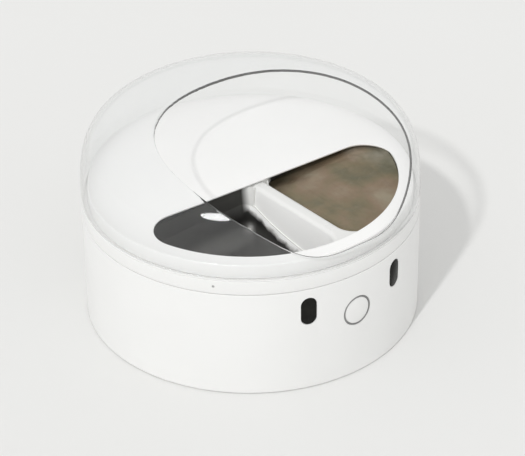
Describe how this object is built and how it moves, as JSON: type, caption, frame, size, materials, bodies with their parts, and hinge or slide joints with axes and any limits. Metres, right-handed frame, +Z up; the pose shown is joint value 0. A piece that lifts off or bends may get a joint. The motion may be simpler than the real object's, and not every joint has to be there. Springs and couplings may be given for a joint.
{
  "type": "automatic pet feeder",
  "caption": "Round tabletop pet feeder: a turning tray of wells shown through a half-moon window in a flat deck, under a clear hood with a round feeding hole; front button and sensor windows.",
  "frame": {"origin": "on the floor, under the centre of the round base", "axes": "+Z up, along the body's axis; the front, with the button and the sensor windows, faces -Y"},
  "size_m": [0.24, 0.24, 0.1553],
  "materials": {
    "white_shell": "satin",
    "white_deck": "satin",
    "white_tray": "glossy",
    "grey_plastic": "matte",
    "dark_window": "glossy",
    "black_parts": "matte",
    "rubber": "matte",
    "steel": "satin",
    "liner_steel": "polished",
    "ring_metal": "satin",
    "brass": "satin",
    "circuit_board": "satin",
    "battery_wrap": "satin",
    "clear_hood": "clear and glossy",
    "food": "rough"
  },
  "bodies": {
    "base": {"base_shell": "white_shell", "bottom_cover": "grey_plastic", "foot_1": "rubber", "foot_2": "rubber", "foot_3": "rubber", "foot_4": "rubber", "cover_screw_1": "steel", "cover_screw_2": "steel", "cover_screw_3": "steel", "cover_screw_4": "steel", "chassis_plate": "grey_plastic", "chassis_screw_1": "steel", "chassis_screw_2": "steel", "chassis_screw_3": "steel", "spindle": "steel", "thrust_washer": "grey_plastic", "gear_motor": "steel", "control_board": "circuit_board", "speaker": "black_parts", "battery_box": "grey_plastic", "battery_cell_1": "battery_wrap", "battery_cell_2": "battery_wrap", "battery_cell_3": "battery_wrap", "battery_cell_4": "battery_wrap", "battery_door": "grey_plastic", "power_inlet": "steel", "sensor_window_left": "dark_window", "sensor_window_right": "dark_window", "sensor_module_left": "circuit_board", "sensor_module_right": "circuit_board", "button_ring": "ring_metal", "button_board": "circuit_board", "button_switch": "black_parts", "button_spring": "steel"},
    "tray": {"turntable": "grey_plastic", "tooth_wheel": "grey_plastic", "food_tray": "white_tray", "well_liner_1": "liner_steel", "well_liner_2": "liner_steel", "well_liner_3": "liner_steel", "well_liner_4": "liner_steel", "food_portion": "food"},
    "pinion": {"drive_pinion": "brass", "motor_shaft": "steel"},
    "lid": {"collar_ring": "white_shell", "seal_ring": "rubber", "deck": "white_deck", "align_mark": "grey_plastic"},
    "hood": {"clear_hood": "clear_hood"},
    "button": {"button_cap": "white_shell"}
  },
  "joints": [
    {"name": "tray_spin", "type": "hinge", "parent": "base", "child": "tray", "pos_m": [0, 0, 0.05], "axis": [0, 0, 1], "continuous": true},
    {"name": "pinion_spin", "type": "hinge", "parent": "base", "child": "pinion", "pos_m": [0, 0.072, 0.05], "axis": [0, 0, 1], "continuous": true},
    {"name": "lid_lift", "type": "slide", "parent": "base", "child": "lid", "axis": [0, 0, 1], "range_m": [0, 0.06]},
    {"name": "hood_lift", "type": "slide", "parent": "lid", "child": "hood", "axis": [0, 0, 1], "range_m": [0, 0.07]},
    {"name": "button_press", "type": "slide", "parent": "base", "child": "button", "axis": [0, 1, 0], "range_m": [0, 0.001], "stiffness_N_per_m": 400, "deforming": ["button_spring"]}
  ],
  "couplings": [
    {"joint": "pinion_spin", "follows": "tray_spin", "ratio": -5}
  ]
}
